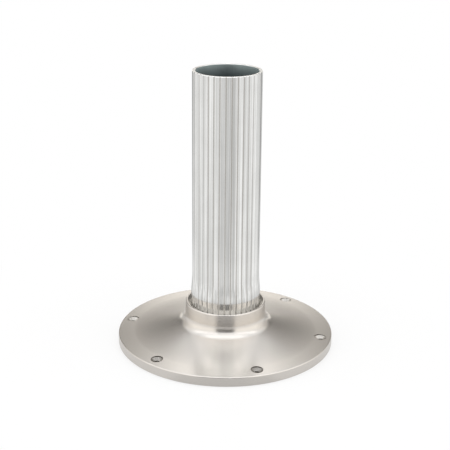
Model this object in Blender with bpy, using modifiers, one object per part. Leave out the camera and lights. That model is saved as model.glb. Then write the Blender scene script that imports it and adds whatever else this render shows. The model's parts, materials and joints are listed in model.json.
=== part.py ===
"""Boat seat pedestal: a reeded aluminium post pressed into a round deck flange.

Two pieces. The flange is one turned casting with a bolt ring, a dished top and a collar that
rises out of a hollow fillet. The post is one extruded tube with grooves all round, swelled
where it meets the collar. It stands on a lip at the bottom of the collar's bore.

Metres, +Z up. The origin is the centre of the flange's underside, and -Y is the front.
"""
import math

import bmesh
import bpy

# Flange
FLANGE_RADIUS = 0.1143
FLANGE_EDGE_HEIGHT = 0.0101
RIM_ROUNDING = 0.0011
FOOT_CHAMFER = 0.0005
BOLT_RING_WIDTH = 0.0165
BOLT_RING_SLOPE = math.radians(5.0)
DISH_EDGE_SLOPE = math.radians(6.0)
DISH_FOOT_SLOPE = math.radians(15.5)
DECK_RING_WIDTH = 0.0223
RELIEF_DEPTH = 0.0015
HUB_PAD_WIDTH = 0.018

# Collar on the flange
COLLAR_FILLET = 0.0118
COLLAR_BAND = 0.0124
COLLAR_WALL = 0.0062
COLLAR_ROUNDING = 0.0010
LIP_THICKNESS = 0.005
LIP_REACH = 0.001

# Post
OVERALL_HEIGHT = 0.2915
POST_RADIUS = 0.03525
POST_WALL = 0.00325
SEAT_RADIUS = 0.0358
SWELL_RADIUS = 0.0365
SWELL_RISE = 0.0100
SWELL_LENGTH = 0.0220

# Grooves of the post
GROOVE_COUNT = 36
GROOVE_WIDTH = 0.0021
GROOVE_DEPTH = 0.0009
GROOVE_START = math.radians(-1.9)

# Screw holes in the bolt ring
HOLE_COUNT = 6
HOLE_EDGE_DISTANCE = 0.0113
HOLE_START = math.radians(18.0)
HOLE_RADIUS = 0.0036
SINK_RADIUS = 0.0063
SINK_LAND = 0.0010
SINK_ANGLE = math.radians(45.0)

# Space kept between the post and the flange
CLEARANCE = 0.0003

# Smoothness of the round shapes
TURN_STEPS = 72
HOLE_STEPS = 32
DISH_STEPS = 6
FILLET_STEPS = 8
ROUNDING_STEPS = 3
SWELL_STEPS = 5
GROOVE_STEPS = 4
SHARP_ANGLE = math.radians(28.0)

# Sizes that follow from the ones above
COLLAR_BORE = SEAT_RADIUS + CLEARANCE
COLLAR_RADIUS = COLLAR_BORE + COLLAR_WALL
LIP_RADIUS = POST_RADIUS - POST_WALL - LIP_REACH
RING_INNER_RADIUS = FLANGE_RADIUS - BOLT_RING_WIDTH
DECK_RING_INNER_RADIUS = FLANGE_RADIUS - DECK_RING_WIDTH
HOLE_CIRCLE_RADIUS = FLANGE_RADIUS - HOLE_EDGE_DISTANCE
POST_FOOT = LIP_THICKNESS + CLEARANCE


def ring_height(radius):
    """Height of the bolt ring's top at a radius."""
    return FLANGE_EDGE_HEIGHT + (FLANGE_RADIUS - radius) * math.tan(BOLT_RING_SLOPE)


def dish():
    """Points (radius, height) of the dished top, from the bolt ring in to the fillet's foot."""
    foot_radius = COLLAR_RADIUS + COLLAR_FILLET * (1 - math.sin(DISH_FOOT_SLOPE))
    stride = (RING_INNER_RADIUS - foot_radius) / DISH_STEPS
    radius, height = RING_INNER_RADIUS, ring_height(RING_INNER_RADIUS)
    points = [(radius, height)]
    for step in range(DISH_STEPS):
        share = (step + 0.5) / DISH_STEPS
        radius -= stride
        height += stride * math.tan(DISH_EDGE_SLOPE + (DISH_FOOT_SLOPE - DISH_EDGE_SLOPE) * share)
        points.append((radius, height))
    return points


def fillet_centre():
    """Centre (radius, height) of the hollow fillet between the dish and the collar."""
    foot_height = dish()[-1][1]
    return COLLAR_RADIUS + COLLAR_FILLET, foot_height + COLLAR_FILLET * math.cos(DISH_FOOT_SLOPE)


COLLAR_TOP = fillet_centre()[1] + COLLAR_BAND


def arc(centre, radius, start, end, steps):
    """Points of an arc, both ends included, with angles measured from the +radius axis."""
    points = []
    for step in range(steps + 1):
        angle = start + (end - start) * step / steps
        points.append((centre[0] + radius * math.cos(angle), centre[1] + radius * math.sin(angle)))
    return points


def flange_profile():
    """Outline of the flange's section, from the collar's top down its outer side and back."""
    right = 0.0
    up = math.pi / 2
    collar_corner = (COLLAR_RADIUS - COLLAR_ROUNDING, COLLAR_TOP - COLLAR_ROUNDING)
    rim_corner = (FLANGE_RADIUS - RIM_ROUNDING, FLANGE_EDGE_HEIGHT - RIM_ROUNDING)
    points = [(COLLAR_BORE, COLLAR_TOP)]
    points += arc(collar_corner, COLLAR_ROUNDING, up, right, ROUNDING_STEPS)
    fillet_end = 1.5 * math.pi - DISH_FOOT_SLOPE
    points += arc(fillet_centre(), COLLAR_FILLET, math.pi, fillet_end, FILLET_STEPS)
    points += dish()[-2::-1]
    points += arc(rim_corner, RIM_ROUNDING, up - BOLT_RING_SLOPE, right, ROUNDING_STEPS)
    points.append((FLANGE_RADIUS, FOOT_CHAMFER))
    points.append((FLANGE_RADIUS - FOOT_CHAMFER, 0.0))
    points.append((DECK_RING_INNER_RADIUS, 0.0))
    points.append((DECK_RING_INNER_RADIUS - RELIEF_DEPTH, RELIEF_DEPTH))
    points.append((LIP_RADIUS + HUB_PAD_WIDTH + RELIEF_DEPTH, RELIEF_DEPTH))
    points.append((LIP_RADIUS + HUB_PAD_WIDTH, 0.0))
    points.append((LIP_RADIUS + FOOT_CHAMFER, 0.0))
    points.append((LIP_RADIUS, FOOT_CHAMFER))
    points.append((LIP_RADIUS, LIP_THICKNESS))
    points.append((COLLAR_BORE, LIP_THICKNESS))
    return points


def hole_profile():
    """Outline of one screw hole's cutter, from above the bolt ring to below the underside."""
    surface = ring_height(HOLE_CIRCLE_RADIUS)
    sink_top = surface - SINK_LAND
    sink_bottom = sink_top - (SINK_RADIUS - HOLE_RADIUS) / math.tan(SINK_ANGLE)
    return [
        (0.0, surface + SINK_RADIUS),
        (SINK_RADIUS, surface + SINK_RADIUS),
        (SINK_RADIUS, sink_top),
        (HOLE_RADIUS, sink_bottom),
        (HOLE_RADIUS, -SINK_RADIUS),
        (0.0, -SINK_RADIUS),
    ]


def around(radius, angle):
    """Point in plan at a radius, with the angle measured from the front towards +X."""
    return radius * math.sin(angle), -radius * math.cos(angle)


def groove_depth(offset):
    """Depth of a groove at a distance from its middle: a rounded trough with soft edges."""
    half_width = GROOVE_WIDTH / 2
    if abs(offset) >= half_width:
        return 0.0
    return GROOVE_DEPTH * (1 + math.cos(math.pi * offset / half_width)) / 2


def post_outline():
    """Outer outline of the straight post in plan: grooves with plain lands between them."""
    pitch = 2 * math.pi / GROOVE_COUNT
    points = []
    for groove in range(GROOVE_COUNT):
        middle = GROOVE_START + groove * pitch
        for step in range(GROOVE_STEPS + 1):
            offset = GROOVE_WIDTH * (step / GROOVE_STEPS - 0.5)
            angle = middle + offset / POST_RADIUS
            points.append(around(POST_RADIUS - groove_depth(offset), angle))
        points.append(around(POST_RADIUS, middle + pitch / 2))
    return points


def bore_outline():
    """Inner outline of the straight post in plan."""
    radius = POST_RADIUS - POST_WALL
    return [around(radius, 2 * math.pi * step / TURN_STEPS) for step in range(TURN_STEPS)]


def swell(height):
    """How far the post's wall is pushed outwards at a height."""
    swell_height = COLLAR_TOP + SWELL_RISE
    at_seat = SEAT_RADIUS - POST_RADIUS
    at_swell = SWELL_RADIUS - POST_RADIUS
    if height <= COLLAR_TOP:
        return at_seat
    if height <= swell_height:
        share = (height - COLLAR_TOP) / SWELL_RISE
        return at_seat + (at_swell - at_seat) * share
    share = min(1.0, (height - swell_height) / SWELL_LENGTH)
    return at_swell * (1 + math.cos(share * math.pi)) / 2


def new_collection(name):
    """Make a collection in the scene."""
    collection = bpy.data.collections.new(name)
    bpy.context.scene.collection.children.link(collection)
    return collection


def metal(name, colour, roughness):
    """Make a Principled metal."""
    material = bpy.data.materials.new(name)
    material.use_nodes = True
    shader = material.node_tree.nodes["Principled BSDF"]
    shader.inputs["Base Color"].default_value = (*colour, 1.0)
    shader.inputs["Metallic"].default_value = 1.0
    shader.inputs["Roughness"].default_value = roughness
    material.diffuse_color = (*colour, 1.0)
    return material


def turned(name, profile, steps, collection):
    """Turn an outline round the Z axis. An outline that starts on the axis is left open there."""
    mesh = bpy.data.meshes.new(name)
    outline = bmesh.new()
    corners = [outline.verts.new((radius, 0.0, height)) for radius, height in profile]
    for first, second in zip(corners, corners[1:]):
        outline.edges.new((first, second))
    if profile[0][0] > 0.0:
        outline.edges.new((corners[-1], corners[0]))
    outline.to_mesh(mesh)
    outline.free()
    obj = bpy.data.objects.new(name, mesh)
    collection.objects.link(obj)
    screw = obj.modifiers.new("Turn", "SCREW")
    screw.axis = "Z"
    screw.angle = 2 * math.pi
    screw.steps = steps
    screw.render_steps = steps
    screw.use_merge_vertices = True
    screw.merge_threshold = 0.00001
    return obj


def settle(obj):
    """Replace an object's mesh with its evaluated one, smooth with crisp corners."""
    graph = bpy.context.evaluated_depsgraph_get()
    mesh = bpy.data.meshes.new_from_object(obj.evaluated_get(graph))
    mesh.name = obj.name
    obj.modifiers.clear()
    obj.data = mesh
    mesh.shade_smooth()
    mesh.set_sharp_from_angle(angle=SHARP_ANGLE)


def hole_cutters(collection):
    """Make the cutters of the screw holes, evenly spaced on their circle."""
    first = turned("hole_cutter_1", hole_profile(), HOLE_STEPS, collection)
    for number in range(HOLE_COUNT):
        cutter = first
        if number > 0:
            cutter = first.copy()
            cutter.name = f"hole_cutter_{number + 1}"
            collection.objects.link(cutter)
        angle = HOLE_START + number * 2 * math.pi / HOLE_COUNT
        cutter.location = (*around(HOLE_CIRCLE_RADIUS, angle), 0.0)
        cutter.hide_render = True
        cutter.display_type = "WIRE"


def base_flange(collection, cutters, material):
    """Turn the flange and cut its screw holes."""
    obj = turned("base_flange", flange_profile(), TURN_STEPS, collection)
    hole_cutters(cutters)
    cut = obj.modifiers.new("Screw holes", "BOOLEAN")
    cut.operation = "DIFFERENCE"
    cut.operand_type = "COLLECTION"
    cut.collection = cutters
    cut.solver = "EXACT"
    settle(obj)
    obj.data.materials.append(material)
    return obj


def post_blank(collection):
    """Extrude the grooved section to the post's length and return it as a mesh object."""
    length = OVERALL_HEIGHT - POST_FOOT
    section = bpy.data.curves.new("post_section", "CURVE")
    section.dimensions = "2D"
    section.fill_mode = "BOTH"
    section.extrude = length / 2
    for outline in (post_outline(), bore_outline()):
        spline = section.splines.new("POLY")
        spline.points.add(len(outline) - 1)
        for point, (x, y) in zip(spline.points, outline):
            point.co = (x, y, 0.0, 1.0)
        spline.use_cyclic_u = True
    guide = bpy.data.objects.new("post_section", section)
    guide.location.z = POST_FOOT + length / 2
    collection.objects.link(guide)
    graph = bpy.context.evaluated_depsgraph_get()
    mesh = bpy.data.meshes.new_from_object(guide.evaluated_get(graph))
    mesh.name = "ribbed_post"
    obj = bpy.data.objects.new("ribbed_post", mesh)
    obj.matrix_world = guide.matrix_world
    collection.objects.link(obj)
    bpy.data.objects.remove(guide)
    bpy.data.curves.remove(section)
    return obj


def post_stations():
    """Heights at which the post's wall changes its radius."""
    swell_height = COLLAR_TOP + SWELL_RISE
    stations = [COLLAR_TOP, swell_height]
    for step in range(1, SWELL_STEPS + 1):
        stations.append(swell_height + SWELL_LENGTH * step / SWELL_STEPS)
    return stations


def ribbed_post(collection, material):
    """Make the post: extrude it and swell its foot."""
    obj = post_blank(collection)
    lift = obj.matrix_world.translation.z
    body = bmesh.new()
    body.from_mesh(obj.data)
    bmesh.ops.remove_doubles(body, verts=body.verts, dist=0.00001)
    for station in post_stations():
        everything = body.verts[:] + body.edges[:] + body.faces[:]
        level = (0.0, 0.0, station - lift)
        bmesh.ops.bisect_plane(body, geom=everything, plane_co=level, plane_no=(0.0, 0.0, 1.0))
    for vert in body.verts:
        radius = math.hypot(vert.co.x, vert.co.y)
        push = swell(vert.co.z + lift)
        vert.co.x *= (radius + push) / radius
        vert.co.y *= (radius + push) / radius
    bmesh.ops.recalc_face_normals(body, faces=body.faces)
    body.to_mesh(obj.data)
    body.free()
    obj.data.shade_smooth()
    obj.data.set_sharp_from_angle(angle=SHARP_ANGLE)
    obj.data.materials.clear()
    obj.data.materials.append(material)
    return obj


def main():
    """Build the pedestal in an emptied scene."""
    for obj in list(bpy.data.objects):
        bpy.data.objects.remove(obj)
    parts = new_collection("boat_seat_pedestal")
    cutters = new_collection("cutters")
    satin = metal("satin_aluminium", (0.63, 0.61, 0.58), 0.32)
    bright = metal("bright_aluminium", (0.82, 0.82, 0.82), 0.16)
    base = base_flange(parts, cutters, satin)
    post = ribbed_post(parts, bright)
    bpy.context.view_layer.update()
    post.parent = base


main()
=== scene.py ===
"""Looks of the boat seat pedestal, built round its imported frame.

The flange is a satin casting turned on a lathe, the post a bright extruded tube with grooves.
Lengths are metres in the frame's axes: +Z up, and -Y towards the front. Plan angles are
measured from the front towards +X, and points of a section are (radius, height).
"""
import json
import logging
import math
import random
from dataclasses import dataclass, field
from enum import Enum

import bmesh
import bpy
from mathutils import Matrix, Vector

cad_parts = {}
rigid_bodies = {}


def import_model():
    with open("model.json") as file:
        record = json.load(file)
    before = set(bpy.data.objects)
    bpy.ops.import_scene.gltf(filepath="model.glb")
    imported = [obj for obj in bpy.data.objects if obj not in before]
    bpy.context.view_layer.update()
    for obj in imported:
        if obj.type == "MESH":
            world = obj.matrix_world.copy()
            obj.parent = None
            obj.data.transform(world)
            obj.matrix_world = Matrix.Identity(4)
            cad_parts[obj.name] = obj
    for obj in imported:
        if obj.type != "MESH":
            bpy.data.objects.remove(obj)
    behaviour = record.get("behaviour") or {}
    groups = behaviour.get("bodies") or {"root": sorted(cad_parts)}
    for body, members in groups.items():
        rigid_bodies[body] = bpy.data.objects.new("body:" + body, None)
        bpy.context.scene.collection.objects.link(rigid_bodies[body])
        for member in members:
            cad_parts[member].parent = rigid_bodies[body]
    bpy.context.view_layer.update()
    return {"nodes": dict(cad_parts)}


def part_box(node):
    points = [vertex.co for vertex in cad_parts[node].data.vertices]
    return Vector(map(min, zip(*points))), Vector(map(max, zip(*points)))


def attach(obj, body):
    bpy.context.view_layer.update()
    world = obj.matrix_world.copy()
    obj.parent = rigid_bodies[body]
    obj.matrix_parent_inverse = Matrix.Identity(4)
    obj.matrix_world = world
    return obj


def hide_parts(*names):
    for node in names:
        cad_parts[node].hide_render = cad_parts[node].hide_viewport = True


Point2 = tuple[float, float]
Point3 = tuple[float, float, float]
Span = tuple[float, float]
Colour = tuple[float, float, float]
Socket = bpy.types.NodeSocket
Feed = Socket | float | tuple[float, ...]

LOG = logging.getLogger("pedestal")
WHITE = (1.0, 1.0, 1.0, 1.0)
FULL_TURN = 2 * math.pi

# Directions in a section, as angles from the outward direction
UP = math.pi / 2
INWARD = math.pi
DOWN = 1.5 * math.pi

# Points of a turned shape that lie closer than this are one
SEAM_MERGE = 0.000005

# Weight of a face's area in its corners' normals: large flat faces stay flat
AREA_WEIGHT = 100

# The mesh's attribute that the finishes read for painted shade and added roughness
SHADE_AND_DULLNESS = "shade_and_dullness"


class Grain(Enum):
    """The way that tool marks run over a metal surface."""

    TURNED = "round the post's axis"
    DRAWN = "along the post's axis"


class FlangeFace(Enum):
    """The flange's kinds of face, by the place of their finish on the mesh."""

    TURNED = 0
    SHADED_DULL = 1
    SUNK = 2


class PostFace(Enum):
    """The post's kinds of face, by the place of their finish on the mesh."""

    OUTER = 0
    BORE = 1
    SAWN = 2


class Hanging(Enum):
    """What a card in the studio does to the light."""

    BOX = "adds its own light"
    FLAG = "takes away a share of the light hung before it"


def around(radius: float, angle: float) -> Point2:
    """Give the point in plan at a radius and a plan angle in radians."""
    return radius * math.sin(angle), -radius * math.cos(angle)


def arc(centre: Point2, radius: float, start: float, end: float, steps: int) -> list[Point2]:
    """Give the points of an arc in a section.

    Args:
        centre: Centre as (radius, height).
        radius: The arc's radius.
        start: First angle from the outward direction, in radians.
        end: Last angle, in radians.
        steps: Number of stretches.

    Returns:
        The points, both ends included.
    """
    points = []
    for step in range(steps + 1):
        angle = start + (end - start) * step / steps
        points.append((centre[0] + radius * math.cos(angle), centre[1] + radius * math.sin(angle)))
    return points


def put_in_scene(name: str, body: bmesh.types.BMesh) -> bpy.types.Object:
    """Make a mesh object of a finished body and put it in the scene.

    Args:
        name: The object's and the mesh's name.
        body: The body, which is freed.

    Returns:
        The object.
    """
    mesh = bpy.data.meshes.new(name)
    body.to_mesh(mesh)
    body.free()
    obj = bpy.data.objects.new(name, mesh)
    bpy.context.scene.collection.objects.link(obj)
    return obj


def turned(name: str, profile: list[Point2], steps: int) -> bpy.types.Object:
    """Turn an outline of (radius, height) points round the Z axis.

    Args:
        name: The object's name.
        profile: The outline, down the outer side. Left open where it starts on the axis.
        steps: Number of stretches in a full turn.

    Returns:
        The object, with a Screw modifier.
    """
    outline = bmesh.new()
    corners = [outline.verts.new((radius, 0.0, height)) for radius, height in profile]
    for first, second in zip(corners, corners[1:]):
        outline.edges.new((first, second))
    if profile[0][0] > 0.0:
        outline.edges.new((corners[-1], corners[0]))
    obj = put_in_scene(name, outline)
    screw = obj.modifiers.new("Turn", "SCREW")
    screw.axis = "Z"
    screw.angle = FULL_TURN
    screw.steps = steps
    screw.render_steps = steps
    screw.use_merge_vertices = True
    screw.merge_threshold = SEAM_MERGE
    return obj


def lofted_ring(name: str, rows: list[list[Point3]]) -> bpy.types.Object:
    """Skin closed rows of points into a ring-shaped closed surface.

    Args:
        name: The object's name.
        rows: Rows with equally many points, up the outer side and down the inner one.

    Returns:
        The object.
    """
    body = bmesh.new()
    grid = [[body.verts.new(point) for point in row] for row in rows]
    for lower, upper in zip(grid, grid[1:] + grid[:1]):
        count = len(lower)
        for index in range(count):
            after = (index + 1) % count
            body.faces.new((lower[index], lower[after], upper[after], upper[index]))
    bmesh.ops.recalc_face_normals(body, faces=body.faces)
    return put_in_scene(name, body)


def settle(obj: bpy.types.Object) -> None:
    """Replace an object's mesh with its evaluated one and drop its modifiers.

    Args:
        obj: The mesh object.
    """
    graph = bpy.context.evaluated_depsgraph_get()
    mesh = bpy.data.meshes.new_from_object(obj.evaluated_get(graph))
    mesh.name = obj.name
    obj.modifiers.clear()
    obj.data = mesh


def smooth_by_angle(obj: bpy.types.Object, angle: float) -> None:
    """Shade a mesh smooth with crisp corners and normals weighted by face area.

    Args:
        obj: The mesh object.
        angle: Corners sharper than this stay crisp, in radians.
    """
    obj.data.shade_smooth()
    obj.data.set_sharp_from_angle(angle=angle)
    weighted = obj.modifiers.new("Weighted normals", "WEIGHTED_NORMAL")
    weighted.keep_sharp = True
    weighted.weight = AREA_WEIGHT


class NodeSketch:
    """Short ways to draw a node tree."""

    def __init__(self, tree: bpy.types.NodeTree) -> None:
        """Start on an emptied tree."""
        tree.nodes.clear()
        self.tree = tree

    def node(self, kind: str, **settings: object) -> bpy.types.Node:
        """Add a node.

        Args:
            kind: Blender's node type.
            settings: Properties to set on it.

        Returns:
            The node.
        """
        node = self.tree.nodes.new(kind)
        for name, value in settings.items():
            setattr(node, name, value)
        return node

    def feed(self, socket: Socket, value: Feed) -> None:
        """Link an output to a socket, or set the socket's own value.

        Args:
            socket: The input to feed.
            value: Another node's output, or a plain value.
        """
        if isinstance(value, Socket):
            self.tree.links.new(value, socket)
        else:
            socket.default_value = value

    def maths(self, operation: str, *values: Feed) -> Socket:
        """Add a Math node.

        Args:
            operation: Blender's name of the operation.
            values: Numbers or sockets to feed it.

        Returns:
            Its result.
        """
        node = self.node("ShaderNodeMath", operation=operation)
        for socket, value in zip(node.inputs, values):
            self.feed(socket, value)
        return node.outputs[0]

    def smooth_range(self, value: Socket, span: Span, results: Span) -> Socket:
        """Map a range smoothly onto another and hold it beyond the ends.

        Args:
            value: The number to map.
            span: The range's low and high end.
            results: What its low and high end give.

        Returns:
            The mapped number.
        """
        node = self.node("ShaderNodeMapRange", interpolation_type="SMOOTHSTEP")
        for name, number in zip(("From Min", "From Max", "To Min", "To Max"), span + results):
            node.inputs[name].default_value = number
        self.feed(node.inputs["Value"], value)
        return node.outputs["Result"]

    def noise(self, place: Socket, scale: float, detail: float, roughness: float = 0.5) -> Socket:
        """Draw noise.

        Args:
            place: Where the noise is read.
            scale: How fine it is.
            detail: Number of finer layers.
            roughness: Strength of each finer layer.

        Returns:
            A number round a half.
        """
        node = self.node("ShaderNodeTexNoise")
        node.inputs["Scale"].default_value = scale
        node.inputs["Detail"].default_value = detail
        node.inputs["Roughness"].default_value = roughness
        self.feed(node.inputs["Vector"], place)
        return node.outputs["Fac"]

    def bump(self, height: Socket, depth: float, under: Socket | None = None) -> Socket:
        """Add a bump to the normal.

        Args:
            height: Height from 0 to 1.
            depth: Height in metres where it is 1.
            under: Normal of the bump below it, if any.

        Returns:
            The new normal.
        """
        node = self.node("ShaderNodeBump")
        node.inputs["Strength"].default_value = 1.0
        node.inputs["Distance"].default_value = depth
        self.feed(node.inputs["Height"], height)
        if under is not None:
            self.feed(node.inputs["Normal"], under)
        return node.outputs["Normal"]

    def place(self, kind: str = "Object") -> Socket:
        """Give the place on the object, or the direction in the surroundings."""
        return self.node("ShaderNodeTexCoord").outputs[kind]

    def parts(self, vector: Socket) -> list[Socket]:
        """Split a vector.

        Args:
            vector: The vector.

        Returns:
            Its x, y and z.
        """
        node = self.node("ShaderNodeSeparateXYZ")
        self.feed(node.inputs[0], vector)
        return list(node.outputs)

    def vector(self, *values: Feed) -> Socket:
        """Join three numbers into a vector.

        Args:
            values: Its x, y and z.

        Returns:
            The vector.
        """
        node = self.node("ShaderNodeCombineXYZ")
        for socket, value in zip(node.inputs, values):
            self.feed(socket, value)
        return node.outputs[0]

    def radius(self, x: Socket, y: Socket) -> Socket:
        """Give the distance from the Z axis."""
        squares = (self.maths("MULTIPLY", x, x), self.maths("MULTIPLY", y, y))
        return self.maths("SQRT", self.maths("ADD", *squares))

    def aside(self, x: Socket, y: Socket) -> Socket:
        """Give the plan angle away from the front, alike on the left and the right."""
        angle = self.maths("ARCTAN2", x, self.maths("MULTIPLY", y, -1.0))
        return self.maths("ABSOLUTE", angle)

    def mix_colour(self, share: Feed, first: Feed, second: Feed) -> Socket:
        """Mix two colours.

        Args:
            share: How much of the second colour shows.
            first: Colour where share is 0.
            second: Colour where share is 1.

        Returns:
            The mixed colour.
        """
        node = self.node("ShaderNodeMix", data_type="RGBA")
        for name, value in (("Factor_Float", share), ("A_Color", first), ("B_Color", second)):
            socket = next(item for item in node.inputs if item.identifier == name)
            self.feed(socket, value)
        return next(item for item in node.outputs if item.identifier == "Result_Color")

    def mix_shader(self, share: Feed, first: Socket, second: Socket, output: str) -> None:
        """Mix two shaders and end the tree with them.

        Args:
            share: How much of the second shader shows.
            first: Shader where share is 0.
            second: Shader where share is 1.
            output: Blender's type of the output node.
        """
        mix = self.node("ShaderNodeMixShader")
        for socket, value in zip(mix.inputs, (share, first, second)):
            self.feed(socket, value)
        self.feed(self.node(output).inputs["Surface"], mix.outputs[0])


@dataclass(frozen=True)
class Streaks:
    """Broad streaks that the extruding die leaves under the fine marks.

    Attributes:
        pitch: Typical width.
        depth: Height for the bump.
        tone: Their share in the tone, the rest being the fine marks'.
    """

    pitch: float
    depth: float
    tone: float


@dataclass(frozen=True)
class ShadeAndDulling:
    """Painted shade and added roughness that a value of 1 on the mesh gives, such as deep in the
    grooves.

    Attributes:
        colour: Darker colour of the painted shade.
        roughness: Roughness that it adds.
    """

    colour: Colour
    roughness: float


@dataclass(frozen=True)
class WorkedAluminium:
    """A clear anodised aluminium finish with tool marks.

    Attributes:
        name: The material's name.
        colour: Colour of the clean metal.
        marked_colour: Colour in the deeper tool marks.
        roughness: Roughness between the marks.
        spread: How far the roughness varies.
        anisotropy: How much the reflections smear across the marks.
        mark_pitch: Typical distance between marks.
        mark_depth: Height of the marks for the bump.
        grain: The way that the marks run.
        streaks: Broad streaks, if there are any.
        shade_and_dulling: Painted shade and added roughness read from the mesh's attribute, if
            any.
        turned_stretch: How many turned marks follow one another in a radian.
        drawn_stretch: How many drawn marks follow one another in a metre.
        drawn_radius: Radius at which drawn marks have their pitch.
        mark_detail: Finer layers in the marks.
        mark_fineness: Strength of each finer layer.
        mark_contrast: The noise between a mark's bottom and top.
        cloud_scale: Fineness of the slow unevenness of the skin.
        cloud_detail: Finer layers in it.
        cloud_contrast: The noise between its dull and its clean places.
        cloud_low: Share of the clean tone that its dull places keep.
    """

    name: str
    colour: Colour
    marked_colour: Colour
    roughness: float
    spread: float
    anisotropy: float
    mark_pitch: float
    mark_depth: float
    grain: Grain = Grain.TURNED
    streaks: Streaks | None = None
    shade_and_dulling: ShadeAndDulling | None = None
    turned_stretch: float = 0.35
    drawn_stretch: float = 3.0
    drawn_radius: float = 0.035
    mark_detail: float = 3.0
    mark_fineness: float = 0.6
    mark_contrast: Span = (0.36, 0.64)
    cloud_scale: float = 38.0
    cloud_detail: float = 4.0
    cloud_contrast: Span = (0.25, 0.75)
    cloud_low: float = 0.7

    def material(self) -> bpy.types.Material:
        """Build the finish as a node material.

        Returns:
            The material.
        """
        material = bpy.data.materials.new(self.name)
        material.use_nodes = True
        sketch = NodeSketch(material.node_tree)
        shader = sketch.node("ShaderNodeBsdfPrincipled")
        output = sketch.node("ShaderNodeOutputMaterial")
        sketch.feed(output.inputs["Surface"], shader.outputs["BSDF"])
        tone = marks = self._marks(sketch, self.mark_pitch)
        relief = sketch.bump(marks, self.mark_depth)
        if self.streaks is not None:
            streaks = self._marks(sketch, self.streaks.pitch)
            relief = sketch.bump(streaks, self.streaks.depth, relief)
            broad = sketch.maths("MULTIPLY", streaks, self.streaks.tone)
            fine = sketch.maths("MULTIPLY", marks, 1.0 - self.streaks.tone)
            tone = sketch.maths("ADD", broad, fine)
        share = sketch.maths("MULTIPLY", tone, self._clouds(sketch))
        tint = sketch.mix_colour(share, (*self.marked_colour, 1.0), (*self.colour, 1.0))
        limits = (self.roughness + self.spread, self.roughness - self.spread)
        roughness = sketch.smooth_range(share, (0.0, 1.0), limits)
        # Painted shade: the colour darkens where the mesh's attribute is high, and the roughness
        # grows there too
        if self.shade_and_dulling is not None:
            shade_and_dullness = sketch.node("ShaderNodeAttribute", attribute_name=SHADE_AND_DULLNESS).outputs["Fac"]
            tint = sketch.mix_colour(shade_and_dullness, tint, (*self.shade_and_dulling.colour, 1.0))
            added = sketch.maths("MULTIPLY", shade_and_dullness, self.shade_and_dulling.roughness)
            roughness = sketch.maths("ADD", roughness, added)
        sketch.feed(shader.inputs["Base Color"], tint)
        sketch.feed(shader.inputs["Roughness"], roughness)
        sketch.feed(shader.inputs["Normal"], relief)
        shader.inputs["Metallic"].default_value = 1.0
        shader.inputs["Anisotropic"].default_value = self.anisotropy
        tangent = sketch.node("ShaderNodeTangent", direction_type="RADIAL", axis="Z")
        sketch.feed(shader.inputs["Tangent"], tangent.outputs["Tangent"])
        quarter_turn = 0.25 if self.grain is Grain.TURNED else 0.0
        shader.inputs["Anisotropic Rotation"].default_value = quarter_turn
        return material

    def _marks(self, sketch: NodeSketch, pitch: float) -> Socket:
        """Draw long tool marks.

        Args:
            sketch: The material's nodes.
            pitch: Typical distance between them.

        Returns:
            The height, from 0 to 1.
        """
        x, y, z = sketch.parts(sketch.place())
        radius = sketch.radius(x, y)
        angle = sketch.maths("ARCTAN2", x, y)
        fine = 1.0 / pitch
        if self.grain is Grain.TURNED:
            across = sketch.maths("MULTIPLY", radius, fine)
            rise = sketch.maths("MULTIPLY", z, fine)
            along = sketch.maths("MULTIPLY", angle, self.turned_stretch)
        else:
            across = sketch.maths("MULTIPLY", angle, self.drawn_radius * fine)
            rise = sketch.maths("MULTIPLY", radius, fine)
            along = sketch.maths("MULTIPLY", z, self.drawn_stretch)
        place = sketch.vector(across, rise, along)
        noise = sketch.noise(place, 1.0, self.mark_detail, self.mark_fineness)
        return sketch.smooth_range(noise, self.mark_contrast, (0.0, 1.0))

    def _clouds(self, sketch: NodeSketch) -> Socket:
        """Draw the slow unevenness of the anodised skin, near 1."""
        noise = sketch.noise(sketch.place(), self.cloud_scale, self.cloud_detail)
        return sketch.smooth_range(noise, self.cloud_contrast, (self.cloud_low, 1.0))


SATIN_TURNED = WorkedAluminium(
    name="satin turned aluminium",
    colour=(0.74, 0.705, 0.665),
    marked_colour=(0.732, 0.697, 0.657),
    roughness=0.27,
    spread=0.003,
    anisotropy=0.7,
    mark_pitch=0.0012,
    mark_depth=0.0000001,
)
# Painted shade: this darker, rougher finish darkens the holes' upper walls and two sinks
SHADED_DULL_CUT = WorkedAluminium(
    name="shaded dull cut aluminium",
    colour=(0.42, 0.40, 0.375),
    marked_colour=(0.30, 0.285, 0.265),
    roughness=0.40,
    spread=0.06,
    anisotropy=0.2,
    mark_pitch=0.0008,
    mark_depth=0.000004,
)
# Partly a cut finish and partly painted shade: darker than the turned face, for the sinks, the
# hole walls and the lead-in
SHADED_COUNTERSINK = WorkedAluminium(
    name="countersunk aluminium",
    colour=(0.57, 0.545, 0.51),
    marked_colour=(0.50, 0.475, 0.44),
    roughness=0.25,
    spread=0.03,
    anisotropy=0.5,
    mark_pitch=0.0003,
    mark_depth=0.000001,
)
# Painted shade: its darker second colour darkens the groove bottoms and the foot band, which also
# get rougher
BRIGHT_EXTRUDED = WorkedAluminium(
    name="bright extruded aluminium",
    colour=(0.99, 0.99, 0.975),
    marked_colour=(0.67, 0.67, 0.655),
    roughness=0.11,
    spread=0.02,
    anisotropy=0.3,
    mark_pitch=0.0004,
    mark_depth=0.000002,
    grain=Grain.DRAWN,
    streaks=Streaks(pitch=0.0018, depth=0.00003, tone=0.8),
    shade_and_dulling=ShadeAndDulling(colour=(0.68, 0.66, 0.63), roughness=0.25),
)
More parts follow.
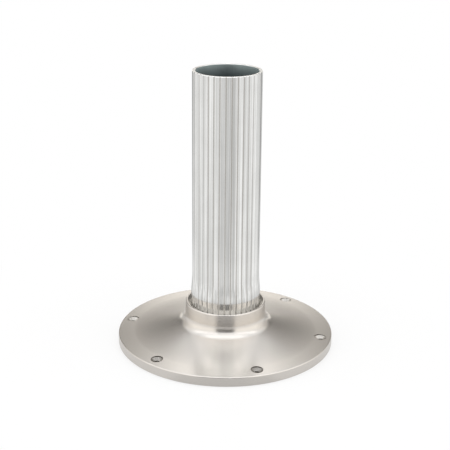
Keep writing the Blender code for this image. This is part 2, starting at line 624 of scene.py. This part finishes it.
# Painted shade: its dark second colour darkens the bore further down
PLAIN_BORE = WorkedAluminium(
    name="plain bore aluminium",
    colour=(0.74, 0.85, 0.86),
    marked_colour=(0.67, 0.77, 0.78),
    roughness=0.5,
    spread=0.04,
    anisotropy=0.2,
    mark_pitch=0.0006,
    mark_depth=0.000004,
    grain=Grain.DRAWN,
    shade_and_dulling=ShadeAndDulling(colour=(0.16, 0.20, 0.22), roughness=0.0),
)
FACED_END = WorkedAluminium(
    name="faced tube end",
    colour=(0.86, 0.86, 0.85),
    marked_colour=(0.82, 0.82, 0.81),
    roughness=0.25,
    spread=0.03,
    anisotropy=0.2,
    mark_pitch=0.0003,
    mark_depth=0.000002,
)


@dataclass
class Flange:
    """The turned flange with its collar and screw holes.

    Attributes:
        radius: Outer radius, from the frame.
        collar_top: Height of the collar's top face, from the frame.
        finish: The turned finish.
        shaded_dull_finish: Rough finish whose darker colour paints shade on the holes' upper walls
            and on the sinks of the shaded holes.
        shaded_sink_finish: Finish of the other sinks, the holes' lower walls and the lead-in, its
            darker colour partly painted shade.
        edge_height: Height of the rim's upright face.
        rim_rounding: Rounding of the rim's upper corner.
        foot_chamfer: Chamfer of the corners that stand on the deck.
        ring_width: Width of the bolt ring.
        ring_slope: Slope of the bolt ring's top.
        dish_slope: Slope of the dished top where it leaves the bolt ring.
        foot_slope: Its slope where it meets the fillet.
        dish_steps: Stretches along the dished top.
        deck_ring_width: Width of the ring that lies on the deck.
        relief_depth: Depth of the relief between that ring and the pad.
        hub_pad_width: Width of the pad on the deck round the middle.
        fillet: Radius of the hollow fillet.
        fillet_steps: Stretches along it.
        collar_radius: Outer radius of the collar.
        collar_bore: Radius of its bore.
        collar_rounding: Rounding of its outer upper corner.
        collar_land: Width of its level top.
        lead_in_slope: Slope of the lead-in from the level top down to the bore.
        lip_radius: Inner radius of the lip that carries the post's foot.
        lip_thickness: Thickness of that lip.
        corner_steps: Stretches round the collar's corner.
        rim_steps: Stretches round the rim's corner.
        hole_count: Number of screw holes.
        hole_edge_distance: From the rim to a hole's axis.
        hole_start: Plan angle of the first hole.
        hole_radius: Radius of a hole.
        sink_radius: Radius of its sink.
        sink_land: Depth at which the sink's slope starts.
        sink_angle: Angle of the sink's slope to its axis.
        shaded_holes: Numbers of the holes whose sinks take the darker finish with painted shade.
        steps: Stretches in a full turn.
        hole_steps: Stretches round a hole.
        crease: Corners sharper than this stay crisp.
        level_normal: A face whose normal rises more than this is level.
        sloping_normal: A face whose normal rises more than this is sloping.
        face_margin: How far round a sink's and a hole's radius their faces are taken.
    """

    radius: float
    collar_top: float
    finish: WorkedAluminium = SATIN_TURNED
    shaded_dull_finish: WorkedAluminium = SHADED_DULL_CUT
    shaded_sink_finish: WorkedAluminium = SHADED_COUNTERSINK
    edge_height: float = 0.0101
    rim_rounding: float = 0.0011
    foot_chamfer: float = 0.0005
    ring_width: float = 0.0165
    ring_slope: float = math.radians(5.0)
    dish_slope: float = math.radians(6.0)
    foot_slope: float = math.radians(15.5)
    dish_steps: int = 40
    deck_ring_width: float = 0.0223
    relief_depth: float = 0.0015
    hub_pad_width: float = 0.018
    fillet: float = 0.0118
    fillet_steps: int = 40
    collar_radius: float = 0.0423
    collar_bore: float = 0.03585
    collar_rounding: float = 0.0013
    collar_land: float = 0.0005
    lead_in_slope: float = math.radians(28.0)
    lip_radius: float = 0.031
    lip_thickness: float = 0.005
    corner_steps: int = 6
    rim_steps: int = 8
    hole_count: int = 6
    hole_edge_distance: float = 0.0113
    hole_start: float = math.radians(18.0)
    hole_radius: float = 0.0036
    sink_radius: float = 0.0063
    sink_land: float = 0.0010
    sink_angle: float = math.radians(45.0)
    shaded_holes: tuple[int, ...] = (0, 5)
    steps: int = 384
    hole_steps: int = 64
    crease: float = math.radians(28.0)
    level_normal: float = 0.95
    sloping_normal: float = 0.5
    face_margin: float = 1.001

    @property
    def lead_in_radius(self) -> float:
        """Radius where the collar's level top meets the lead-in."""
        return self.collar_radius - self.collar_rounding - self.collar_land

    def ring_height(self, radius: float) -> float:
        """Give the height of the bolt ring's top at a radius."""
        return self.edge_height + (self.radius - radius) * math.tan(self.ring_slope)

    def dish(self) -> list[Point2]:
        """Give the dished top.

        Returns:
            Its points from the fillet's foot out to the bolt ring.
        """
        foot = self.collar_radius + self.fillet * (1 - math.sin(self.foot_slope))
        radius = self.radius - self.ring_width
        height = self.ring_height(radius)
        stride = (radius - foot) / self.dish_steps
        points = [(radius, height)]
        for step in range(self.dish_steps):
            share = (step + 0.5) / self.dish_steps
            slope = self.dish_slope + (self.foot_slope - self.dish_slope) * share
            radius -= stride
            height += stride * math.tan(slope)
            points.append((radius, height))
        return points[::-1]

    def fillet_centre(self) -> Point2:
        """Give the centre of the hollow fillet as (radius, height)."""
        foot = self.dish()[0]
        return self.collar_radius + self.fillet, foot[1] + self.fillet * math.cos(self.foot_slope)

    def profile(self) -> list[Point2]:
        """Give the section of the whole flange.

        Returns:
            Its closed outline, from the collar's bore outwards and down.
        """
        land = self.lead_in_radius
        lead_in = (land - self.collar_bore) * math.tan(self.lead_in_slope)
        points = [(self.collar_bore, self.collar_top - lead_in), (land, self.collar_top)]
        rounding = self.collar_rounding
        corner = (self.collar_radius - rounding, self.collar_top - rounding)
        points += arc(corner, rounding, UP, 0.0, self.corner_steps)
        fillet_end = DOWN - self.foot_slope
        points += arc(self.fillet_centre(), self.fillet, INWARD, fillet_end, self.fillet_steps)
        points += self.dish()[1:]
        rounding = self.rim_rounding
        corner = (self.radius - rounding, self.edge_height - rounding)
        points += arc(corner, rounding, UP - self.ring_slope, 0.0, self.rim_steps)
        deck_ring = self.radius - self.deck_ring_width
        hub_pad = self.lip_radius + self.hub_pad_width
        points += [
            (self.radius, self.foot_chamfer),
            (self.radius - self.foot_chamfer, 0.0),
            (deck_ring, 0.0),
            (deck_ring - self.relief_depth, self.relief_depth),
            (hub_pad + self.relief_depth, self.relief_depth),
            (hub_pad, 0.0),
            (self.lip_radius + self.foot_chamfer, 0.0),
            (self.lip_radius, self.foot_chamfer),
            (self.lip_radius, self.lip_thickness),
            (self.collar_bore, self.lip_thickness),
        ]
        return points

    def hole_profile(self) -> list[Point2]:
        """Give the section of one hole's cutter.

        Returns:
            Its outline, from above the ring to below it.
        """
        surface = self.ring_height(self.radius - self.hole_edge_distance)
        sink_top = surface - self.sink_land
        drop = (self.sink_radius - self.hole_radius) / math.tan(self.sink_angle)
        return [
            (0.0, surface + self.sink_radius),
            (self.sink_radius, surface + self.sink_radius),
            (self.sink_radius, sink_top),
            (self.hole_radius, sink_top - drop),
            (self.hole_radius, -self.sink_radius),
            (0.0, -self.sink_radius),
        ]

    def hole_places(self) -> list[Point2]:
        """Give the holes' axes.

        Returns:
            Their points in plan.
        """
        circle = self.radius - self.hole_edge_distance
        pitch = FULL_TURN / self.hole_count
        angles = [self.hole_start + number * pitch for number in range(self.hole_count)]
        return [around(circle, angle) for angle in angles]

    def build(self) -> bpy.types.Object:
        """Turn the flange, cut its holes and dress it.

        Returns:
            The flange, riding on the frame in place of its node.
        """
        obj = turned("flange_dressed", self.profile(), self.steps)
        self._cut_holes(obj)
        for finish in (self.finish, self.shaded_dull_finish, self.shaded_sink_finish):
            obj.data.materials.append(finish.material())
        self._assign_finishes(obj)
        smooth_by_angle(obj, self.crease)
        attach(obj, "root")
        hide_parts("base_flange")
        return obj

    def _cut_holes(self, obj: bpy.types.Object) -> None:
        """Cut the screw holes through the bolt ring.

        Args:
            obj: The turned flange.
        """
        cutters = bpy.data.collections.new("hole_cutters")
        bpy.context.scene.collection.children.link(cutters)
        for number, place in enumerate(self.hole_places(), 1):
            cutter = turned(f"hole_cutter_{number}", self.hole_profile(), self.hole_steps)
            cutter.location = (*place, 0.0)
            bpy.context.scene.collection.objects.unlink(cutter)
            cutters.objects.link(cutter)
        cut = obj.modifiers.new("Screw holes", "BOOLEAN")
        cut.operand_type = "COLLECTION"
        cut.collection = cutters
        cut.solver = "EXACT"
        settle(obj)
        for cutter in list(cutters.objects):
            bpy.data.objects.remove(cutter)
        bpy.data.collections.remove(cutters)

    def _assign_finishes(self, obj: bpy.types.Object) -> None:
        """Give the holes and the collar's lead-in their own finishes, whose darker colours paint
        shade into these hollows.

        Args:
            obj: The flange with its finishes.
        """
        sink_reach = self.sink_radius * self.face_margin
        hole_reach = self.hole_radius * self.face_margin
        places = self.hole_places()
        for face in obj.data.polygons:
            x, y, _ = face.center
            if abs(face.normal.z) > self.level_normal:
                continue
            sloping = face.normal.z > self.sloping_normal
            # Painted shade: the lead-in round the post takes the darker countersink finish
            if sloping and math.hypot(x, y) < self.lead_in_radius:
                face.material_index = FlangeFace.SUNK.value
            for number, (hole_x, hole_y) in enumerate(places):
                distance = math.hypot(x - hole_x, y - hole_y)
                if distance >= sink_reach:
                    continue
                # Painted shade: the holes' lower walls and the other sinks take the countersink
                # finish, and the rest of each hole takes the darker one
                clean = distance < hole_reach or (sloping and number not in self.shaded_holes)
                face.material_index = (FlangeFace.SUNK if clean else FlangeFace.SHADED_DULL).value


@dataclass
class Post:
    """The grooved tube with its swelled foot.

    Attributes:
        foot: Height of its lower end, from the frame.
        top: Height of its upper end, from the frame.
        collar_top: Height where it leaves the collar.
        finish: The bright outer finish.
        bore_finish: The duller finish of the bore, with painted shade deeper down.
        cut_finish: The finish of the sawn end.
        radius: Radius over the lands.
        wall: Thickness from a land to the bore.
        seat_radius: Radius over the lands inside the collar.
        swell_radius: Radius over the lands where the foot is widest.
        swell_rise: From the collar's top up to there.
        swell_length: From there up to the straight tube.
        tip_chamfer: Chamfer of both corners of the upper end.
        groove_count: Number of grooves.
        groove_width: Width of a groove.
        groove_depth: Depth of a groove.
        groove_start: Plan angle of the first groove.
        groove_steps: Stretches across a groove.
        land_steps: Stretches across a land.
        rise_steps: Rings up to where the foot is widest.
        swell_steps: Rings from there to the straight tube.
        collar_ring_drop: From the collar's top down to the ring inside it.
        bore_shade_depth: Depth in the bore at which its painted shade is full.
        foot_shade: Painted shade, with added roughness, on the lands of the foot.
        foot_margin: How far above the foot's widest ring its painted shade reaches.
        faintest_groove_shade: Painted shade at the bottom of the least shaded groove.
        groove_shades_seed: Seed of the grooves' painted shade, which varies at random from groove
            to groove.
        skin_depth: Depth, in grooves, down to which a point is on the outer side.
        crease: Corners sharper than this stay crisp.
    """

    foot: float
    top: float
    collar_top: float
    finish: WorkedAluminium = BRIGHT_EXTRUDED
    bore_finish: WorkedAluminium = PLAIN_BORE
    cut_finish: WorkedAluminium = FACED_END
    radius: float = 0.03525
    wall: float = 0.00325
    seat_radius: float = 0.0358
    swell_radius: float = 0.0365
    swell_rise: float = 0.0100
    swell_length: float = 0.0220
    tip_chamfer: float = 0.0004
    groove_count: int = 36
    groove_width: float = 0.0021
    groove_depth: float = 0.0009
    groove_start: float = math.radians(-1.9)
    groove_steps: int = 12
    land_steps: int = 6
    rise_steps: int = 10
    swell_steps: int = 24
    collar_ring_drop: float = 0.002
    bore_shade_depth: float = 0.016
    foot_shade: float = 0.35
    foot_margin: float = 0.0001
    faintest_groove_shade: float = 0.25
    groove_shades_seed: int = 5
    skin_depth: float = 1.1
    crease: float = math.radians(26.0)

    @property
    def groove_pitch(self) -> float:
        """Plan angle from one groove to the next."""
        return FULL_TURN / self.groove_count

    @property
    def swell_height(self) -> float:
        """Height where the foot is widest."""
        return self.collar_top + self.swell_rise

    def groove_profile(self, offset: float) -> float:
        """Give a groove's depth.

        Args:
            offset: Distance from its middle.

        Returns:
            The depth, 0 on the lands.
        """
        half_width = self.groove_width / 2
        if abs(offset) >= half_width:
            return 0.0
        return self.groove_depth * (1 + math.cos(math.pi * offset / half_width)) / 2

    def section(self) -> list[Point2]:
        """Give the outer section of the straight tube.

        Returns:
            Its (plan angle, radius) pairs, once round.
        """
        half = self.groove_width / self.radius / 2
        land = self.groove_pitch - 2 * half
        pairs = []
        for groove in range(self.groove_count):
            middle = self.groove_start + groove * self.groove_pitch
            for step in range(self.groove_steps):
                offset = self.groove_width * (step / self.groove_steps - 0.5)
                depth = self.groove_profile(offset)
                pairs.append((middle + offset / self.radius, self.radius - depth))
            for step in range(self.land_steps):
                pairs.append((middle + half + land * step / self.land_steps, self.radius))
        return pairs

    def swell(self, height: float) -> float:
        """Give how far the wall is pushed outwards.

        Args:
            height: Height above the deck.

        Returns:
            The push, the same on both sides of the wall.
        """
        at_seat = self.seat_radius - self.radius
        at_swell = self.swell_radius - self.radius
        if height <= self.collar_top:
            return at_seat
        if height <= self.swell_height:
            share = (height - self.collar_top) / self.swell_rise
            return at_seat + (at_swell - at_seat) * share
        share = min(1.0, (height - self.swell_height) / self.swell_length)
        return at_swell * (1 + math.cos(share * math.pi)) / 2

    def heights(self) -> list[float]:
        """Give the heights of the tube's rings.

        Returns:
            The heights from the foot up, without the upper end.
        """
        rows = [self.foot, self.collar_top - self.collar_ring_drop]
        start = self.collar_top
        stretches = ((self.swell_rise, self.rise_steps), (self.swell_length, self.swell_steps))
        for length, count in stretches:
            rows += [start + length * step / count for step in range(count)]
            start += length
        rows += [start, self.top - self.bore_shade_depth, self.top - self.tip_chamfer]
        return rows

    def build(self) -> bpy.types.Object:
        """Make the tube's mesh and dress it.

        Returns:
            The post, riding on the frame in place of its node.
        """
        section = self.section()
        inner_radius = self.radius - self.wall
        chamfer = self.tip_chamfer
        rows = []
        for height in self.heights():
            push = self.swell(height)
            rows.append([(*around(radius + push, angle), height) for angle, radius in section])
        rows.append([(*around(radius - chamfer, angle), self.top) for angle, radius in section])
        rows.append([(*around(inner_radius + chamfer, angle), self.top) for angle, _ in section])
        for height in reversed(self.heights()):
            inner = inner_radius + self.swell(height)
            rows.append([(*around(inner, angle), height) for angle, _ in section])
        obj = lofted_ring("post_dressed", rows)
        self._note_shade_and_dullness(obj)
        for finish in (self.finish, self.bore_finish, self.cut_finish):
            obj.data.materials.append(finish.material())
        self._assign_finishes(obj)
        smooth_by_angle(obj, self.crease)
        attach(obj, "root")
        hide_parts("ribbed_post")
        return obj

    def _note_shade_and_dullness(self, obj: bpy.types.Object) -> None:
        """Store at each point its painted shade, with added roughness: deep in a groove, on the
        foot, or down the bore.

        Args:
            obj: The post.
        """
        dice = random.Random(self.groove_shades_seed)
        grooves = [dice.uniform(self.faintest_groove_shade, 1.0) for _ in range(self.groove_count)]
        foot_top = self.swell_height + self.foot_margin
        shade_and_dullness = obj.data.attributes.new(SHADE_AND_DULLNESS, "FLOAT", "POINT")
        for vertex, item in zip(obj.data.vertices, shade_and_dullness.data):
            x, y, z = vertex.co
            sunk = (self.radius + self.swell(z) - math.hypot(x, y)) / self.groove_depth
            turns = (math.atan2(x, -y) - self.groove_start) / self.groove_pitch
            groove = round(turns) % self.groove_count
            # Painted shade: deeper in a groove, on the foot band, and further down the bore
            if sunk <= self.skin_depth:
                on_foot = z < foot_top
                item.value = max(sunk * grooves[groove], self.foot_shade if on_foot else 0.0)
            else:
                item.value = min(1.0, (self.top - z) / self.bore_shade_depth)

    def _assign_finishes(self, obj: bpy.types.Object) -> None:
        """Give the bore and the sawn end their own finish.

        Args:
            obj: The post with its finishes.
        """
        wall_middle = self.radius - self.wall + (self.wall - self.groove_depth) / 2
        for face in obj.data.polygons:
            x, y, z = face.center
            if z > self.top - self.tip_chamfer:
                face.material_index = PostFace.SAWN.value
            elif math.hypot(x, y) - self.swell(z) < wall_middle:
                face.material_index = PostFace.BORE.value


@dataclass(frozen=True)
class Card:
    """A soft box or a dark flag hung round the pedestal, alike on the left and the right.

    Attributes:
        hanging: Whether it adds light or takes it away.
        strength: Light that a box adds, or the share that a flag takes away.
        sides: Nearest and farthest azimuth from the front, in degrees.
        heights: Lowest and highest elevation, in degrees.
        soft_side: Width of its soft upright edges, in degrees.
        soft_height: Width of its soft level edges, in degrees.
    """

    hanging: Hanging
    strength: float
    sides: Span
    heights: Span
    soft_side: float
    soft_height: float


# Stands for an edge that a card doesn't have: degrees past every azimuth and elevation
BEYOND = 400.0

# The cards in the order in which they are hung: a flag dims only what comes before it
STUDIO_CARDS = {
    "overhead box": Card(Hanging.BOX, 0.61, (-BEYOND, BEYOND), (64.0, BEYOND), 12.0, 10.0),
    "strip boxes": Card(Hanging.BOX, 1.05, (-BEYOND, 115.0), (44.4, 52.5), 30.0, 5.0),
    "low side walls": Card(Hanging.BOX, 0.19, (19.0, 99.0), (-BEYOND, 30.0), 14.0, 8.0),
    "low back wall": Card(Hanging.BOX, 2.00, (142.0, BEYOND), (-BEYOND, 3.6), 12.0, 5.0),
    "rear side flags": Card(Hanging.FLAG, 0.41, (120.0, BEYOND), (-BEYOND, 30.0), 30.0, 10.0),
    "camera gap": Card(Hanging.FLAG, 0.96, (-BEYOND, 26.0), (5.0, 40.5), 10.0, 5.0),
    "back flags": Card(Hanging.FLAG, 0.68, (144.0, BEYOND), (3.5, 42.3), 12.0, 6.0),
    "back window": Card(Hanging.BOX, 1.65, (174.2, BEYOND), (14.5, 40.0), 8.0, 6.0),
    "back corner lamps": Card(Hanging.BOX, 1.20, (156.0, 169.0), (3.5, 9.0), 8.0, 5.0),
}


@dataclass
class Studio:
    """White floor and background, the cards round the object, and the camera.

    Attributes:
        cards: Soft boxes and flags by name, in the order in which they are hung.
        warm: Tint of the light near the horizon and below it.
        cool: Tint of the light from above.
        warm_cool: Elevations at which the light is fully warm and fully cool.
        floor_size: Side of the square floor.
        floor_drop: How far the floor lies below the flange, to keep them apart.
        floor_colour: Colour of the matt floor.
        covered_radius: Floor under the flange, which keeps its full shadow.
        shadow_reach: Radii between which the shadow fades into the white.
        shadow_share: Share of the matt floor, and so of the shadow, near the flange.
        mirrored_floor: Brightness of the floor that the metal mirrors.
        front_shade: Share that the floor in front of the pedestal loses in the metal.
        front_shade_sides: Plan angles between which this fades, on both sides.
        back_shade: Share that the floor behind it loses in the metal.
        back_shade_sides: Plan angles between which this grows, on both sides.
        near_shade: Share that the floor close to it loses in the metal.
        near_shade_reach: Radii between which this fades.
        camera_place: The camera's position.
        camera_tilt: How far it looks down.
        camera_roll: How far it leans.
        camera_lens: Its focal length in millimetres.
        camera_sensor: Width of its sensor in millimetres.
        camera_near: Nearest distance that it sees.
    """

    cards: dict[str, Card] = field(default_factory=lambda: dict(STUDIO_CARDS))
    warm: Colour = (1.03, 1.0, 0.95)
    cool: Colour = (0.99, 1.0, 1.015)
    warm_cool: Span = (math.radians(25.0), math.radians(50.0))
    floor_size: float = 12.0
    floor_drop: float = 0.0002
    floor_colour: Colour = (0.92, 0.92, 0.92)
    covered_radius: float = 0.112
    shadow_reach: Span = (0.20, 0.34)
    shadow_share: float = 0.35
    mirrored_floor: float = 0.93
    front_shade: float = 0.27
    front_shade_sides: Span = (math.radians(22.0), math.radians(34.0))
    back_shade: float = 0.6
    back_shade_sides: Span = (math.radians(120.0), math.radians(144.0))
    near_shade: float = 0.26
    near_shade_reach: Span = (0.14, 0.24)
    camera_place: Point3 = (-0.00116, -1.0677, 0.50665)
    camera_tilt: float = math.radians(19.509)
    camera_roll: float = math.radians(0.476)
    camera_lens: float = 86.94
    camera_sensor: float = 36.0
    camera_near: float = 0.01

    def build(self) -> None:
        """Set the stage: surroundings, floor and camera."""
        bpy.context.scene.view_settings.view_transform = "Standard"
        self._surroundings()
        self._floor()
        self._camera()

    def _camera(self) -> None:
        """Place the camera at the photograph's angle."""
        data = bpy.data.cameras.new("camera")
        data.lens = self.camera_lens
        data.sensor_width = self.camera_sensor
        data.clip_start = self.camera_near
        camera = bpy.data.objects.new("camera", data)
        bpy.context.scene.collection.objects.link(camera)
        forward = Vector((0.0, math.cos(self.camera_tilt), -math.sin(self.camera_tilt)))
        level = Vector((1.0, 0.0, 0.0))
        upright = level.cross(forward)
        right = math.cos(self.camera_roll) * level + math.sin(self.camera_roll) * upright
        turn = Matrix((right, right.cross(forward), -forward)).transposed()
        place = Matrix.Translation(Vector(self.camera_place))
        camera.matrix_world = place @ turn.to_4x4()
        bpy.context.scene.camera = camera

    def _surroundings(self) -> None:
        """Show white behind the object, and hang the cards where its metal reflects them."""
        world = bpy.data.worlds.new("studio")
        bpy.context.scene.world = world
        world.use_nodes = True
        sketch = NodeSketch(world.node_tree)
        x, y, z = sketch.parts(sketch.place("Generated"))
        aside = sketch.aside(x, y)
        height = sketch.maths("ARCSINE", z)
        light: Feed = 1.0
        for card in self.cards.values():
            shape = self._card_shape(sketch, card, aside, height)
            share = sketch.maths("MULTIPLY", shape, card.strength)
            if card.hanging is Hanging.BOX:
                light = sketch.maths("ADD", light, share)
            else:
                light = sketch.maths("MULTIPLY", light, sketch.maths("SUBTRACT", 1.0, share))
        share = sketch.smooth_range(height, self.warm_cool, (0.0, 1.0))
        tint = sketch.mix_colour(share, (*self.warm, 1.0), (*self.cool, 1.0))
        cards = sketch.node("ShaderNodeBackground")
        sketch.feed(cards.inputs["Strength"], light)
        sketch.feed(cards.inputs["Color"], tint)
        white = sketch.node("ShaderNodeBackground")
        white.inputs["Color"].default_value = WHITE
        seen = sketch.node("ShaderNodeLightPath").outputs["Is Camera Ray"]
        sketch.mix_shader(seen, cards.outputs[0], white.outputs[0], "ShaderNodeOutputWorld")

    def _card_shape(self, sketch: NodeSketch, card: Card, aside: Socket, height: Socket) -> Feed:
        """Draw one card as 1 inside and 0 outside with soft edges.

        Args:
            sketch: The surroundings' nodes.
            card: The card.
            aside: Plan angle from the front of the direction looked in, in radians.
            height: Its elevation, in radians.

        Returns:
            The card's shape.
        """
        shape: Feed = 1.0
        for value, (low, high), soft in (
            (aside, card.sides, card.soft_side),
            (height, card.heights, card.soft_height),
        ):
            for limit, results in ((low, (0.0, 1.0)), (high, (1.0, 0.0))):
                if abs(limit) < BEYOND:
                    span = (math.radians(limit - soft / 2), math.radians(limit + soft / 2))
                    edge = sketch.smooth_range(value, span, results)
                    shape = sketch.maths("MULTIPLY", shape, edge)
        return shape

    def _floor(self) -> None:
        """Lay a white floor that keeps a faint shadow round the object."""
        body = bmesh.new()
        bmesh.ops.create_grid(body, x_segments=1, y_segments=1, size=self.floor_size / 2)
        floor = put_in_scene("floor", body)
        floor.location.z = -self.floor_drop
        floor.data.materials.append(self._floor_finish())

    def _floor_finish(self) -> bpy.types.Material:
        """Mix the matt floor with the white that the camera and the metal see.

        Returns:
            The floor's material.
        """
        material = bpy.data.materials.new("white floor")
        material.use_nodes = True
        sketch = NodeSketch(material.node_tree)
        matt = sketch.node("ShaderNodeBsdfDiffuse")
        matt.inputs["Color"].default_value = (*self.floor_colour, 1.0)
        white = sketch.node("ShaderNodeEmission")
        white.inputs["Color"].default_value = WHITE
        x, y, _ = sketch.parts(sketch.place())
        radius = sketch.radius(x, y)
        path = sketch.node("ShaderNodeLightPath").outputs
        mirrored = sketch.maths("MAXIMUM", path["Is Glossy Ray"], path["Is Transmission Ray"])
        seen = sketch.maths("MAXIMUM", path["Is Camera Ray"], mirrored)
        glow = self._mirrored_glow(sketch, sketch.aside(x, y), radius)
        dimmed = sketch.maths("MULTIPLY", mirrored, sketch.maths("SUBTRACT", 1.0, glow))
        sketch.feed(white.inputs["Strength"], sketch.maths("SUBTRACT", 1.0, dimmed))
        whiteness = (1.0 - self.shadow_share, 1.0)
        share = sketch.smooth_range(radius, self.shadow_reach, whiteness)
        open_floor = sketch.maths("GREATER_THAN", radius, self.covered_radius)
        share = sketch.maths("MULTIPLY", seen, sketch.maths("MULTIPLY", share, open_floor))
        sketch.mix_shader(share, matt.outputs[0], white.outputs[0], "ShaderNodeOutputMaterial")
        return material

    def _mirrored_glow(self, sketch: NodeSketch, aside: Socket, radius: Socket) -> Socket:
        """Draw the floor's brightness in the metal: less in front, behind and close by.

        Args:
            sketch: The floor's nodes.
            aside: Plan angle from the front, in radians.
            radius: Distance from the post's axis.

        Returns:
            The brightness.
        """
        results = (self.mirrored_floor * (1.0 - self.front_shade), self.mirrored_floor)
        glow = sketch.smooth_range(aside, self.front_shade_sides, results)
        behind = sketch.smooth_range(aside, self.back_shade_sides, (1.0, 1.0 - self.back_shade))
        near = sketch.smooth_range(radius, self.near_shade_reach, (1.0 - self.near_shade, 1.0))
        return sketch.maths("MULTIPLY", glow, sketch.maths("MULTIPLY", behind, near))


def main() -> None:
    """Build the dressed pedestal in its studio."""
    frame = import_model()
    LOG.info("frame with nodes %s", ", ".join(sorted(frame["nodes"])))
    _, flange_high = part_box("base_flange")
    post_low, post_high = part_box("ribbed_post")
    piece = Flange(radius=flange_high.x, collar_top=flange_high.z).build()
    LOG.info("%s has %d faces", piece.name, len(piece.data.polygons))
    piece = Post(foot=post_low.z, top=post_high.z, collar_top=flange_high.z).build()
    LOG.info("%s has %d faces", piece.name, len(piece.data.polygons))
    studio = Studio()
    studio.build()
    LOG.info("studio has %d cards", len(studio.cards))


if __name__ == "__main__":
    logging.basicConfig(level=logging.INFO)
    main()
